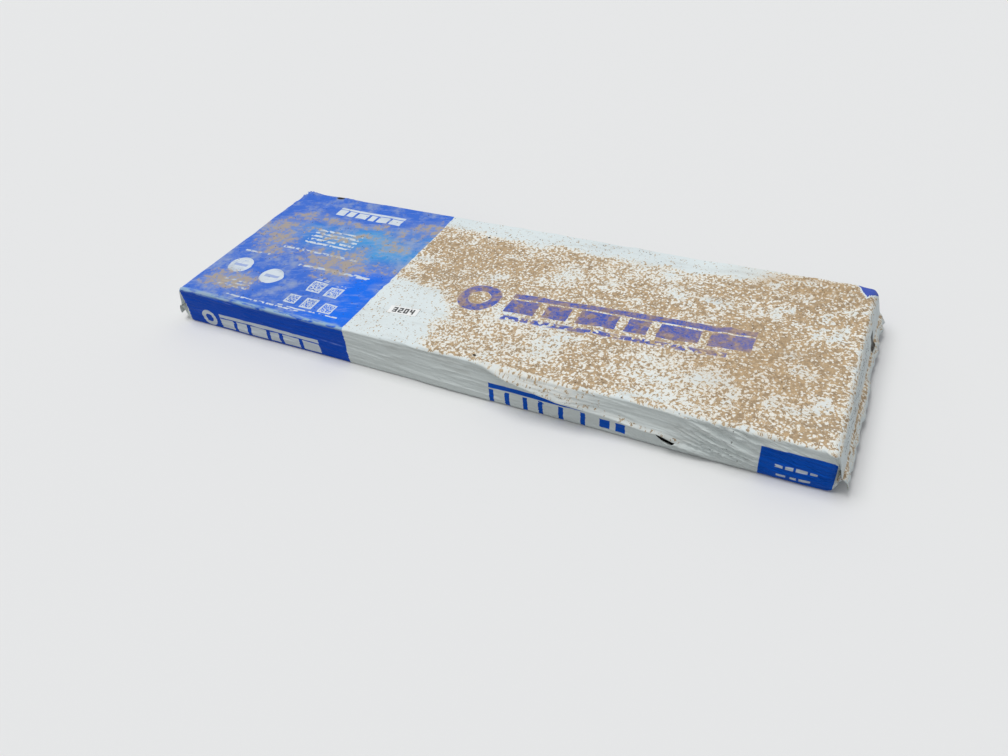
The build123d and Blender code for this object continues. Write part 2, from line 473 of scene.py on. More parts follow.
# Layers of noise: how the patches' edges wander, how the mud varies, and where rain washed it.
WANDER_X = ((30, 55, 55, 31), (12, 17, 17, 32))
WANDER_S = ((24, 55, 55, 33), (10, 17, 17, 34))
UNEVEN_MUD = ((0.18, 30, 24, 35), (0.12, 12, 11, 36))
WASHED_MUD = ((1, 25, 17, 37), (0.4, 9, 8, 38))
WASHED_RANGE, WASHED_SHARE = (0.42, 0.66), 0.6
# How much mud is left at the top's edges, and how much lies on the two ends.
RIM_MUD, LEFT_END_MUD, RIGHT_END_MUD = 0.45, 0.25, 0.6
# A smooth wash of mud by the rear right corner, and a thinner one.
CORNER_WASH = (900, 318, 100, 30, 0.5)
THIN_WASH, THIN_WASH_SHARE = (890, 120, 90, 90, 0.6), 0.35
# The painted highlight on the slope over the long fold, from the top's edge to the tear, and on the
# fold's crest.
FOLD_START = (540, 66)
FOLD_FALL = 0.155
BRIGHT_SPAN = ((545, 580), (740, 670))
CREST_SPAN, CREST_SHARE = ((600, 640), (850, 800)), 0.7


def patch_mask(x, s, centre_x, centre_s, half_x, half_s, soft):
    """1 inside an ellipse and 0 outside it."""
    reach = np.hypot((x - centre_x) / half_x, (s - centre_s) / half_s)
    return smooth(1 + soft, 1 - soft, reach)


def mud_amount(x, s, near_x, near_s):
    """How thick the dried mud is, from 0 to 1."""
    mud = np.full(x.shape, MUD_BASE)
    for *patch, thick in MUD_PATCHES:
        share = patch_mask(near_x, near_s, *patch)
        mud = mud * (1 - share) + thick * share
    washed = smooth(*WASHED_RANGE, waves(x, s, *WASHED_MUD))
    mud *= (1 + waves(x, s, *UNEVEN_MUD)) * (1 - WASHED_SHARE * washed)
    rim = smooth(0, 6, s) * smooth(LENGTH - 1, LENGTH - 9, x) * smooth(WIDTH + 2, WIDTH - 8, s)
    mud *= RIM_MUD + (1 - RIM_MUD) * rim
    mud *= smooth(PANEL_RIGHT - 8, PANEL_RIGHT + 8, x) * within(s, (-4, -1), (WIDTH + 4, WIDTH + 1))
    mud = np.maximum(mud, LEFT_END_MUD * smooth(3, -5, x))
    return np.maximum(mud, RIGHT_END_MUD * smooth(LENGTH - 4, LENGTH + 2, x))


def painted_fold_highlight(x, s):
    """How strongly the painted highlight lies on the long fold's slope and crest, from 0 to 1."""
    over = s + TALL - (FOLD_START[1] - FOLD_FALL * (x - FOLD_START[0]))
    slope = smooth(-2, 3, over) * within(x, *BRIGHT_SPAN)
    crest = CREST_SHARE * smooth(4.5, 1, np.abs(over - 1)) * within(x, *CREST_SPAN)
    return np.maximum(slope, crest) * smooth(3, -1, s)


def stains_and_highlight(length, around):
    """The amount of each stain, and of the painted fold highlight, at each point of the film, from
    0 to 1.
    """
    x, s = sheet_places(length, around)
    far_x, far_s = x + waves(x, s, *WANDER_X), s + waves(x, s, *WANDER_S)
    near_x, near_s = (x + far_x) / 2, (s + far_s) / 2
    angle = np.arctan2(WIDTH - 2 - s, LENGTH - x + 14)
    wash = patch_mask(x, s, *CORNER_WASH) * (0.15 + 0.85 * ridges(angle * 9, x / 90, 39))
    wash = np.maximum(wash, THIN_WASH_SHARE * patch_mask(near_x, near_s, *THIN_WASH))
    dust = np.zeros(x.shape)
    for patch in DUST_PATCHES:
        dust = np.maximum(dust, patch_mask(far_x, far_s, *patch))
    azure, cyan = (patch_mask(far_x, far_s, *patch) for patch in (AZURE_PATCH, CYAN_PATCH))
    mud = mud_amount(x, s, near_x, near_s)
    return np.stack([mud, wash, dust, painted_fold_highlight(x, s), azure, cyan], axis=-1)


# Building the meshes


def mesh_object(name, vertices, faces, coordinates=None):
    """A smooth mesh in the scene, with its map where coordinates are given."""
    mesh = bpy.data.meshes.new(name)
    mesh.from_pydata([tuple(v) for v in vertices], [], [tuple(f) for f in faces])
    mesh.update()
    if coordinates is not None:
        layer = mesh.uv_layers.new(name="sheet")
        corner = np.zeros(len(mesh.loops), dtype=np.int32)
        mesh.loops.foreach_get("vertex_index", corner)
        flat = np.asarray(coordinates, dtype=np.float32)[corner].ravel()
        layer.data.foreach_set("uv", flat)
    mesh.polygons.foreach_set("use_smooth", [True] * len(mesh.polygons))
    made = bpy.data.objects.new(name, mesh)
    bpy.context.scene.collection.objects.link(made)
    return made


def apply_modifiers(piece):
    """Keeps what the modifiers make of the piece as its own mesh."""
    graph = bpy.context.evaluated_depsgraph_get()
    mesh = bpy.data.meshes.new_from_object(piece.evaluated_get(graph))
    piece.modifiers.clear()
    piece.data = mesh


def grid_faces(count_a, count_b, left_out=()):
    """The faces of a grid of points, each as its four corners."""
    for i in range(count_a - 1):
        for j in range(count_b - 1):
            if (i, j) not in left_out:
                a = i * count_b + j
                yield (a, a + 1, a + count_b + 1, a + count_b)


def build_film():
    """The film with its creases, tear, map, marks of mud, dust and fading, painted fold highlight
    and thickness.
    """
    points, length, around = film_grid()
    points = points + normals_of(points) * crease_height(points, length, around)[:, :, None] * MM
    columns, row = open_tear(points, length)
    count_x, count_s = points.shape[:2]
    faces = list(grid_faces(count_x, count_s, {(c, row) for c in columns[:-1]}))
    x, s = sheet_places(length, around)
    places = np.stack([(x + MAP_LEFT) / MAP_SPAN, (s + MAP_BELOW) / MAP_SPAN], axis=-1)
    film = mesh_object("film", points.reshape(-1, 3), faces, places.reshape(-1, 2))
    kept = stains_and_highlight(length, around).reshape(-1, len(STAINS_AND_HIGHLIGHT))
    for number, name in enumerate(STAINS_AND_HIGHLIGHT):
        layer = film.data.attributes.new(name, "FLOAT", "POINT")
        layer.data.foreach_set("value", kept[:, number].astype(np.float32))
    lighter = film.modifiers.new("lighter", "DECIMATE")
    lighter.ratio = FILM_TRIANGLES / (2 * len(faces))
    thickness = film.modifiers.new("thickness", "SOLIDIFY")
    thickness.thickness = FILM_THICKNESS
    thickness.offset = -1
    apply_modifiers(film)
    vertices = film.data.vertices
    places = np.zeros(3 * len(vertices), dtype=np.float32)
    vertices.foreach_get("co", places)
    places[2::3] = np.maximum(places[2::3], LOWEST)
    vertices.foreach_set("co", places)
    film.data.update()
    return film


# The sticker lies on the film and follows it. Its ends curl up a little.
STICKER_LENGTH, STICKER_WIDTH, STICKER_TURN = 48.0, 18.0, 5.0
STICKER_PAPER = 0.12 * MM
STICKER_LIFT = 0.08 * MM
STICKER_COLUMNS, STICKER_ROWS = 25, 11
CURL_START = 0.44
CURL_RISE = 6 * MM


def build_sticker(film):
    """The paper sticker, laid on the film from above."""
    surface = BVHTree.FromObject(film, bpy.context.evaluated_depsgraph_get())
    low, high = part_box("number_sticker")
    middle = (low + high) / 2
    turn = math.radians(STICKER_TURN)
    vertices, places = [], []
    for i in range(STICKER_COLUMNS):
        for j in range(STICKER_ROWS):
            u, v = i / (STICKER_COLUMNS - 1) - 0.5, j / (STICKER_ROWS - 1) - 0.5
            dx, dy = u * STICKER_LENGTH * MM, v * STICKER_WIDTH * MM
            x = middle.x + dx * math.cos(turn) - dy * math.sin(turn)
            y = middle.y + dx * math.sin(turn) + dy * math.cos(turn)
            hit = surface.ray_cast(Vector((x, y, 1)), Vector((0, 0, -1)))[0]
            curl = max(0.0, abs(u) - CURL_START) * CURL_RISE * (0.5 + v)
            vertices.append((x, y, hit.z + STICKER_PAPER + STICKER_LIFT + curl))
            places.append((u + 0.5, v + 0.5))
    faces = [face[::-1] for face in grid_faces(STICKER_COLUMNS, STICKER_ROWS)]
    sticker = mesh_object("sticker", vertices, faces, places)
    paper = sticker.modifiers.new("paper", "SOLIDIFY")
    paper.thickness = STICKER_PAPER
    paper.offset = -1
    apply_modifiers(sticker)
    return sticker


# Materials: numbers and colours that vary over a surface, built as shader nodes


# The sockets of a colour mix.
UNDER, OVER, MIXED = 6, 7, 2
LAYER_STEP = 7.3


def srgb(red, green, blue):
    """A screen colour, from 0 to 255, as the light that materials take."""
    shades = (red / 255, green / 255, blue / 255)
    light = [c / 12.92 if c <= 0.04045 else ((c + 0.055) / 1.055) ** 2.4 for c in shades]
    return (*light, 1.0)


def put(tree, value, target):
    """Gives a socket a constant, another socket or a field."""
    if isinstance(value, Field):
        value = value.socket
    if isinstance(value, bpy.types.NodeSocket):
        tree.links.new(value, target)
    else:
        target.default_value = value


class Field:
    """A number that varies over a surface."""

    def __init__(self, tree, socket):
        self.tree = tree
        self.socket = socket

    def math(self, operation, *others):
        node = self.tree.nodes.new("ShaderNodeMath")
        node.operation = operation
        for place, value in enumerate((self, *others)):
            put(self.tree, value, node.inputs[place])
        return Field(self.tree, node.outputs[0])

    def __add__(self, other):
        return self.math("ADD", other)

    def __sub__(self, other):
        return self.math("SUBTRACT", other)

    def __mul__(self, other):
        return self.math("MULTIPLY", other)

    def __truediv__(self, other):
        return self.math("DIVIDE", other)

    def inverse(self):
        return self * -1 + 1

    def either(self, other):
        return self.math("MAXIMUM", other)

    def step(self, low, high):
        """0 at low, 1 at high and an even ease between them."""
        node = self.tree.nodes.new("ShaderNodeMapRange")
        node.interpolation_type = "SMOOTHSTEP"
        for place, value in enumerate((self, low, high)):
            put(self.tree, value, node.inputs[place])
        return Field(self.tree, node.outputs[0])

    def between(self, low, high, soft=0.5):
        """1 from low to high and 0 outside them."""
        return self.step(low - soft, low + soft) * self.step(high + soft, high - soft)


def mixed(tree, share, under, over):
    """One colour laid over another by a share."""
    node = tree.nodes.new("ShaderNodeMix")
    node.data_type = "RGBA"
    put(tree, share, node.inputs["Factor"])
    put(tree, under, node.inputs[UNDER])
    put(tree, over, node.inputs[OVER])
    return node.outputs[MIXED]


class Surface:
    """A material in the making: places on the surface, textures and mixed colours."""

    def __init__(self, name):
        self.material = bpy.data.materials.new(name)
        self.material.use_nodes = True
        self.tree = self.material.node_tree
        self.shader = self.tree.nodes["Principled BSDF"]

    def node(self, kind):
        return self.tree.nodes.new("ShaderNode" + kind)

    def link(self, source, target):
        self.tree.links.new(source, target)

    def field(self, socket):
        return Field(self.tree, socket)

    def kept(self, name):
        """A number that the mesh keeps at each of its points."""
        node = self.node("Attribute")
        node.attribute_name = name
        return self.field(node.outputs["Fac"])

    def split(self, socket):
        node = self.node("SeparateXYZ")
        self.link(socket, node.inputs[0])
        return [self.field(output) for output in node.outputs]

    def place(self, x, y, z=0.0):
        node = self.node("CombineXYZ")
        for target, value in zip(node.inputs, (x, y, z)):
            put(self.tree, value, target)
        return node.outputs[0]

    def noise(self, place, size, detail=2.0, rough=0.5, layer=0.0):
        """Noise from 0 to 1, with a grain of that size."""
        node = self.node("TexNoise")
        node.noise_dimensions = "4D"
        self.link(place, node.inputs["Vector"])
        node.inputs["W"].default_value = layer * LAYER_STEP
        node.inputs["Scale"].default_value = 1 / size
        node.inputs["Detail"].default_value = detail
        node.inputs["Roughness"].default_value = rough
        return self.field(node.outputs[0])

    def cells(self, place, size):
        """The distance to the nearest of scattered points, as a share of size."""
        node = self.node("TexVoronoi")
        self.link(place, node.inputs["Vector"])
        node.inputs["Scale"].default_value = 1 / size
        return self.field(node.outputs["Distance"])

    def vector_math(self, operation, vector, constant=None):
        node = self.node("VectorMath")
        node.operation = operation
        self.link(vector, node.inputs[0])
        if constant is not None:
            node.inputs[1].default_value = constant
        return node

    def ellipse(self, place, centre_x, centre_y, radius_x, radius_y, soft=0.3):
        """1 inside an ellipse and 0 outside it; soft is a share of its size."""
        offset = self.vector_math("SUBTRACT", place, (centre_x, centre_y, 0)).outputs[0]
        shares = self.vector_math("MULTIPLY", offset, (1 / radius_x, 1 / radius_y, 0)).outputs[0]
        reach = self.field(self.vector_math("LENGTH", shares).outputs["Value"])
        return reach.step(1 + soft, 1 - soft)

    def mix(self, share, under, over):
        return mixed(self.tree, share, under, over)

    def bump(self, height, distance, strength=1.0):
        node = self.node("Bump")
        node.inputs["Strength"].default_value = strength
        node.inputs["Distance"].default_value = distance
        self.link(height.socket, node.inputs["Height"])
        self.link(node.outputs[0], self.shader.inputs["Normal"])

    def finish(self, colour, roughness):
        put(self.tree, colour, self.shader.inputs["Base Color"])
        put(self.tree, roughness, self.shader.inputs["Roughness"])
        return self.material


def box_mask(x, y, left, right, low, high, soft=0.5):
    """1 inside a rectangle and 0 outside it."""
    return x.between(left, right, soft) * y.between(low, high, soft)


# A plain motif, a strip of shingle tabs, is printed in several places.
STROKE_EDGES = (0.0, 0.05, 0.17, 0.22, 0.36, 0.41, 0.52, 0.57, 0.73, 0.78, 0.95, 1.0)
TAB_EDGES = (0.0, 0.13, 0.165, 0.27, 0.31, 0.47, 0.51, 0.6, 0.64, 0.8, 0.835, 1.0)
# The tabs' top and the gap over them, as shares of the motif's height.
TAB_TOP, TAB_GAP = 0.68, 0.07


def tab_motif(look, x, y, left, right, low, high, edges=TAB_EDGES):
    """A row of tabs of different widths under a narrow band."""
    share = (x - left) / (right - left)
    ramp = look.node("ValToRGB")
    ramp.color_ramp.interpolation = "CONSTANT"
    stops = ramp.color_ramp.elements
    stops[0].position, stops[0].color = 0.0, (1, 1, 1, 1)
    stops[1].position, stops[1].color = 1.0, (0, 0, 0, 1)
    for count, edge in enumerate(edges[1:-1]):
        shade = count % 2
        stops.new(edge).color = (shade, shade, shade, 1)
    look.link(share.socket, ramp.inputs[0])
    tabs = look.field(ramp.outputs[0])
    split = low + TAB_TOP * (high - low)
    gap = TAB_GAP * (high - low)
    band = box_mask(x, y, left, right, split + gap, high)
    return band.either(tabs * box_mask(x, y, left, right, low, split))


def ring(look, x, y, centre_x, centre_y, radius):
    """A plain ring, with a hole of half its size."""
    place = look.place(x, y)
    disc = look.ellipse(place, centre_x, centre_y, radius, radius, 0.03)
    return disc * look.ellipse(place, centre_x, centre_y, radius / 2, radius / 2, 0.06).inverse()


WHITE_INK = srgb(224, 233, 233)
SHADED_WHITE = srgb(223, 230, 227)
BLUE_INK = srgb(0, 76, 192)
# The top's paler blue: partly painted sky reflection, partly a thin film of dust.
TOP_BLUE_SHEEN_AND_DUST = srgb(56, 108, 208)
AZURE = srgb(6, 110, 236)
CYAN = srgb(70, 160, 218)
HAZE = srgb(164, 176, 192)
MUD_PALE = srgb(230, 218, 192)
MUD_LIGHT = srgb(192, 163, 123)
MUD_DARK = srgb(146, 121, 90)
FOLD_HIGHLIGHT = srgb(230, 233, 229)
WARM_WHITE = srgb(243, 240, 230)
EDGE_WEAR = srgb(160, 192, 205)
SPECK = srgb(62, 54, 46)
PRINT_WHITE = srgb(222, 230, 232)
COOL_WHITE = srgb(205, 214, 216)
SIDE_INK = srgb(0, 84, 192)
# The ink on the top, paler and greyer than SIDE_INK: partly painted sky reflection, partly a thin
# film of dust.
TOP_INK_SHEEN_AND_DUST = srgb(70, 92, 180)
SMEAR = srgb(160, 178, 220)
DUST = srgb(176, 162, 140)
GRIME = srgb(150, 143, 130)
BLACK = srgb(27, 26, 26)
GRANULE_DARK = srgb(34, 33, 32)
GRANULE_PALE = srgb(92, 88, 84)
GRANULE_BROWN = srgb(70, 58, 50)
PAPER_WHITE = srgb(246, 247, 245)
PAPER_SHADE = srgb(236, 238, 236)
PAPER_SMUDGE = srgb(215, 206, 190)
DIGIT_BLACK = srgb(24, 24, 26)

# The print's places on the film, in mm: left, right, low and high, or centre and size.
PANEL_MARK = (108, 243, 284, 310)
DISCS = ((54, 90, 21), (128, 79, 20))
DISC_BARS = ((41, 67, 87, 93), (115, 141, 76, 82))
CODE_SQUARES = ((221, 77, 27), (257, 72, 25), (203, 38, 22), (237, 36, 24), (273, 34, 23))
CODE_CELL = 1.4
CODE_FRAME = 2.2
# The last number of each block is how many lines it has.
BAR_BLOCKS = (
    (113, 207, 183, 233, 5), (150, 290, 117, 129, 1), (87, 240, 158, 168, 1),
    (53, 113, 30, 53, 3), (30, 80, 128, 136, 1), (90, 233, 10, 17, 1),
    (208, 233, 93, 99, 2), (244, 269, 87, 93, 2), (188, 305, 16, 21, 1),
)
SIDE_MARK = (72, 271, 5, 31)
SIDE_RING = (48, 18, 15)
SIDE_STROKES = (561, 702, 3, 36)
SIDE_BLOCKS = ((722, 736, 9, 24), (744, 757, 9, 24))
# The marks of the white part lie a little askew on the top, by this slope.
TOP_SLOPE = 0.07
TOP_MARK = (527, 876, 118, 165)
TOP_RING = (479, 141, 33)
TOP_LINE = (531, 849, 93, 115, 1)
# The square on a long side: its top edge sinks a little, and its ink runs on round the corner.
SQUARE_LEFT = 923.5
SQUARE_RIGHT = LENGTH + 6
SQUARE_TOP, SQUARE_SLOPE = 67.6, -0.018
SQUARE_FRONT, SQUARE_REAR = (-130, -10), (600, 560)
SQUARE_BARS = (
    (942, 951, 22, 27), (954, 963, 22, 27), (966, 979, 22, 27), (982, 990, 22, 27),
    (945, 956, 8, 12), (961, 968, 8, 12), (971, 984, 8, 12),
)
# The triangle by the rear right corner: its tip, its edges' slopes and its border.
TRIANGLE_TIP = (995, 317)
TRIANGLE_SLOPES = (1.25, 1.7)
TRIANGLE_BORDER = (-5, -3.5)
# Across each end: two dotted lines and a dark mark.
END_LINES = ((9, 15), (18, 24))
END_LINE_SPAN = (25, 235, 1)
END_MARK = (14, 40, 250, 272)
# Ellipses: centre, half sizes and softness.
DARK_FLECKS = ((413, 298, 2.4, 2.0), (537, 13, 3.2, 2.0), (82, 338, 8, 4.5, 0.2))

# How the panel's left edge wanders: its range and its pitch.
EDGE_WANDER, EDGE_PITCH = 26, 70
# The wear along the top's front edge: from, to and softness.
WEAR_BAND = (-2.5, 4, 2.5)
# Where the fine slanting lines of the sides start.
LINES_ALONG = (780, 880)

# The film's noises: grain in mm, detail, roughness and layer. Cells have only their size.
SCUFF_NOISE = (9, 4, 0.7, 3)
EDGE_NOISE = (1, 1, 0.5, 4)
SHADE_NOISE = (130, 2, 0.5, 5)
STREAK_NOISE = (5, 3, 0.6, 6)
HAZE_NOISE = (34, 4, 0.65, 7)
SMEAR_NOISE = (7, 4, 0.7, 8)
DUST_NOISE = (13, 5, 0.74, 9)
MUD_NOISE = (3.4, 3, 0.62, 10)
TONE_NOISE = (6, 4, 0.7, 11)
THIN_NOISE = (15, 4, 0.6, 12)
SPOT_NOISE = (16, 2, 0.5, 13)
GRIME_NOISE = (22, 5, 0.7, 14)
BREAK_NOISE = (6, 0, 0.5, 16)
DOT_NOISE = (9, 0, 0.5, 17)
CREASE_NOISE = (4.5, 4, 0.65, 18)
FINE_NOISE = (2.4, 3, 0.6, 19)
LINE_NOISE = (4.6, 2, 0.5, 23)
MUD_CELL, SPOT_CELL, DOT_CELL = 5.2, 7.7, 2.2


def either(fields):
    """The largest of several fields."""
    total = fields[0]
    for field in fields[1:]:
        total = total.either(field)
    return total


def bar_rows(x, y, left, right, low, high, lines):
    """Rows of plain bars."""
    inked = ((y - low) * (lines / (high - low))).math("FRACT").between(0.25, 0.75, 0.1)
    return inked * box_mask(x, y, left, right, low, high)


def code_cells(look, x, y):
    """A chequer of chance cells."""
    place = look.place((x / CODE_CELL).math("FLOOR"), (y / CODE_CELL).math("FLOOR"))
    chance = look.node("TexWhiteNoise")
    chance.noise_dimensions = "2D"
    look.link(place, chance.inputs["Vector"])
    return look.field(chance.outputs["Value"]).step(0.45, 0.55)


def panel_marks(look, x, s, place, breaks, scuffs):
    """The white print on the blue panel's top: discs, framed squares and rows of bars."""
    discs = either([look.ellipse(place, u, v, size, size, 0.02) for u, v, size in DISCS])
    bars = either([box_mask(x, s, *bar) for bar in DISC_BARS])
    discs = discs * (bars * 0.5).inverse()
    outer, inner = [], []
    for centre_x, centre_y, size in CODE_SQUARES:
        for found, half in ((outer, size / 2), (inner, size / 2 - CODE_FRAME)):
            sides = (centre_x - half, centre_x + half, centre_y - half, centre_y + half)
            found.append(box_mask(x, s, *sides))
    outer, inner = either(outer), either(inner)
    rows = either([bar_rows(x, s, *block) for block in BAR_BLOCKS]) * breaks
    codes = outer * (inner * code_cells(look, x, s)).inverse()
    return either([discs, codes, rows, tab_motif(look, x, s, *PANEL_MARK)]) * scuffs


def film_print(look, x, s, place, on_top):
    """The film's colour before dust and mud, and where its blue panel and inks are."""
    z, rear_z = s + TALL, s * -1 + (WIDTH + TALL)
    up_side = z.math("MINIMUM", rear_z)
    scuffs = (look.noise(place, *SCUFF_NOISE).step(0.62, 0.7) * 0.5).inverse()
    breaks = look.noise(place, *BREAK_NOISE).step(0.42, 0.47)
    edge = look.place(s / EDGE_PITCH, s * 0.0)
    wander = (look.noise(edge, *EDGE_NOISE) - 0.5) * EDGE_WANDER
    panel = (x - wander).step(1.4, 2.6) * x.step(PANEL_RIGHT + 1, PANEL_RIGHT)
    panel = panel * s.between(-TALL - 2, WIDTH + TALL + 2, 1)

    # The top takes the paler blue: partly painted sky reflection, partly a thin film of dust.
    blue = look.mix(on_top, BLUE_INK, TOP_BLUE_SHEEN_AND_DUST)
    blue = look.mix(look.kept("azure") * on_top, blue, AZURE)
    blue = look.mix(look.kept("cyan") * on_top * 0.85, blue, CYAN)
    marks = panel_marks(look, x, s, place, breaks, scuffs) * on_top
    side_marks = tab_motif(look, x, up_side, *SIDE_MARK)
    side_marks = side_marks.either(ring(look, x, up_side, *SIDE_RING))
    blue = look.mix(marks.either(side_marks) * 0.92, blue, PRINT_WHITE)

    white = look.mix(on_top, SHADED_WHITE, WHITE_INK)
    shade = look.noise(place, *SHADE_NOISE).step(0.35, 0.75)
    white = look.mix(shade * (on_top * 0.25 + 0.1), white, COOL_WHITE)
    level = s - (x - TOP_LINE[0]) * TOP_SLOPE
    mark = tab_motif(look, x, level, *TOP_MARK).either(ring(look, x, level, *TOP_RING))
    mark = mark.either(bar_rows(x, level, *TOP_LINE) * breaks) * on_top
    strokes = tab_motif(look, x, up_side, *SIDE_STROKES, STROKE_EDGES)
    strokes = either([strokes] + [box_mask(x, up_side, *block) for block in SIDE_BLOCKS])
    square_top = x * SQUARE_SLOPE + SQUARE_TOP
    across = x.between(SQUARE_LEFT, SQUARE_RIGHT)
    square = across * (square_top - z).step(-0.5, 0.5) * s.between(*SQUARE_FRONT)
    rear_square = across * (square_top - rear_z).step(-0.5, 0.5) * s.step(WIDTH, WIDTH + 2)
    tip_x, tip_s = TRIANGLE_TIP
    left_slope, right_slope = TRIANGLE_SLOPES
    past_left = s - x * left_slope + (tip_x * left_slope - tip_s)
    past_right = s + x * right_slope - (tip_x * right_slope + tip_s)
    inside = past_left.math("MINIMUM", past_right)
    corner, border = inside.step(-0.5, 0.5) * on_top, inside.step(*TRIANGLE_BORDER)
    inks = either([mark, strokes, square, rear_square * s.step(*SQUARE_REAR), corner])
    # The top's ink is paler and greyer: partly painted sky reflection, partly a thin film of dust.
    ink_blue = look.mix(on_top, SIDE_INK, TOP_INK_SHEEN_AND_DUST)
    white = look.mix(inks, white, ink_blue)
    bars = either([box_mask(x, up_side, *bar) for bar in SQUARE_BARS])
    border = border * on_top
    bare = (bars * on_top.inverse() * 0.85).either(border * corner.inverse())
    white = look.mix(bare, white, PRINT_WHITE)
    return look.mix(panel, white, blue), panel, inks, border


def film_material():
    """The printed film with its wear, dust, mud and grime."""
    look = Surface("film")
    sheet = look.node("UVMap")
    sheet.uv_map = "sheet"
    scaled = look.vector_math("MULTIPLY", sheet.outputs[0], (MAP_SPAN, MAP_SPAN, 0)).outputs[0]
    place = look.vector_math("SUBTRACT", scaled, (MAP_LEFT, MAP_BELOW, 0)).outputs[0]
    x, s, _ = look.split(place)
    geometry = look.node("NewGeometry")
    up = look.split(geometry.outputs["Normal"])[2].step(0.2, 0.75)
    on_top = s.between(0, WIDTH, 1.5)
    colour, panel, inks, border = film_print(look, x, s, place, on_top)

    # Wear along the top's front edge, and hazy dust on the blue.
    stretched = look.place(x / 5, s)
    streaks = look.noise(stretched, *STREAK_NOISE)
    wear = s.between(*WEAR_BAND) * streaks.step(0.4, 0.54) * panel
    colour = look.mix(wear * 0.85, colour, EDGE_WEAR)
    haze = look.noise(place, *HAZE_NOISE).step(0.44, 0.66)
    on_panel = panel * up
    haze = haze * (look.kept("azure") * -0.7 + 1)
    haze = (haze * 0.6).either(look.kept("dust") * 0.45)
    colour = look.mix(haze * on_panel, colour, HAZE)
    slanted = look.place((x + s * 0.6) / 5, s - x * 0.35)
    smears = look.noise(slanted, *SMEAR_NOISE)
    colour = look.mix(smears.step(0.5, 0.7) * on_panel * 0.4, colour, SMEAR)
    ragged = look.noise(place, *DUST_NOISE) + look.kept("dust") * 0.16
    dust = ragged.step(0.56, 0.69) * look.kept("dust").step(0.02, 0.2) * on_panel
    colour = look.mix(dust * 0.85, colour, DUST)

    # The painted highlight on the long fold's slope and crest, then dried mud, washed into a net by
    # rain.
    fold = look.kept("fold")
    colour = look.mix(fold * 0.65 * inks.inverse(), colour, FOLD_HIGHLIGHT)
    clear = panel.either(border).inverse()
    amount = (look.kept("mud") * clear * up).either(fold * 0.2)
    grains = look.cells(place, MUD_CELL).step(0.46, 0.16)
    net = look.noise(place, *MUD_NOISE) - grains * 0.22 + amount * 0.26
    mud = net.step(0.605, 0.64) * amount.step(0.01, 0.05)
    # On the smooth inks it dried as a thin even film, in patches.
    thin = look.noise(place, *THIN_NOISE) + amount * 0.2
    thin = thin.step(0.57, 0.72) * amount.step(0.1, 0.4) * 0.74
    mud = (mud * (inks * -0.55 + 0.9)).either(thin * inks)
    halo = net.step(0.49, 0.6) * amount.step(0.01, 0.3) * inks.inverse()
    tone = look.noise(place, *TONE_NOISE).step(0.36, 0.66)
    warm = amount.step(0.1, 0.7) * inks.inverse()
    colour = look.mix(warm * 0.8, colour, WARM_WHITE)
    colour = look.mix(halo * 0.45, colour, MUD_PALE)
    colour = look.mix(look.kept("wash") * clear * up * 0.6, colour, MUD_LIGHT)
    colour = look.mix(mud, colour, look.mix(tone, MUD_LIGHT, MUD_DARK))

    # Stray dark grains, and streaks of grime, fainter on the panel and the inks.
    spots = look.cells(place, SPOT_CELL).step(0.16, 0.1)
    chance = look.noise(place, *SPOT_NOISE).step(0.43, 0.55)
    colour = look.mix(spots * chance * up * 0.8, colour, SPECK)
    grime = look.noise(stretched, *GRIME_NOISE).step(0.5, 0.75)
    colour = look.mix(grime * (panel.either(inks) * -0.2 + 0.28), colour, GRIME)
    flecks = either([look.ellipse(place, *fleck) for fleck in DARK_FLECKS])
    colour = look.mix(flecks, colour, BLACK)

    # Dotted lines and the dark register mark across each end.
    beyond = (x * -1).either(x - LENGTH)
    rows = either([beyond.between(*line, 0.4) for line in END_LINES])
    dots = look.cells(place, DOT_CELL).step(0.5, 0.3) * rows * s.between(*END_LINE_SPAN)
    dots = dots * look.noise(place, *DOT_NOISE).step(0.36, 0.42)
    mark = box_mask(beyond, s, *END_MARK)
    colour = look.mix(dots.either(mark) * 0.9, colour, BLACK)

    creases = look.noise(look.place(x / 7, s + x * 0.09), *CREASE_NOISE)
    height = creases * (on_top * -1 + 1.5) + look.noise(place, *FINE_NOISE) * 0.25
    lines = look.noise(look.place(x / 9, s + x * 0.3), *LINE_NOISE)
    lines = (lines - 0.5).math("ABSOLUTE")
    height = height + lines * x.step(*LINES_ALONG) * on_top.inverse() * 7
    look.bump(height, 1.2 * MM, 0.85)
    roughness = mud.either(dust * 0.8) * 0.35 + 0.5 + grime * 0.15
    look.shader.inputs["Specular IOR Level"].default_value = 0.1
    return look.finish(colour, roughness)


def shingle_material():
    """Mineral granules in black asphalt."""
    look = Surface("shingle")
    coordinates = look.node("TexCoord")
    scaled = look.vector_math("SCALE", coordinates.outputs["Object"])
    scaled.inputs["Scale"].default_value = 1 / MM
    place = scaled.outputs[0]
    grains = look.cells(place, 1.3)
    shade = look.noise(place, 1.4, 2, 0.6)
    colour = look.mix(shade.step(0.35, 0.7), GRANULE_DARK, GRANULE_PALE)
    blend = look.noise(place, 60, 3, 0.6).step(0.4, 0.6)
    colour = look.mix(blend * 0.4, colour, GRANULE_BROWN)
    look.bump(grains, 0.4 * MM, 0.8)
    return look.finish(colour, 0.9)


# The sticker's digits, made of bars as on a clock: places and sizes in mm.
DIGITS = {"0": "abcdef", "2": "abged", "3": "abgcd", "4": "fgbc"}
STICKER_DIGITS = "3204"
DIGIT_LEFT, DIGIT_LOW = 6.5, 3.0
DIGIT_WIDTH, DIGIT_HEIGHT, DIGIT_STROKE, DIGIT_PITCH = 7.2, 12.0, 2.8, 9.2


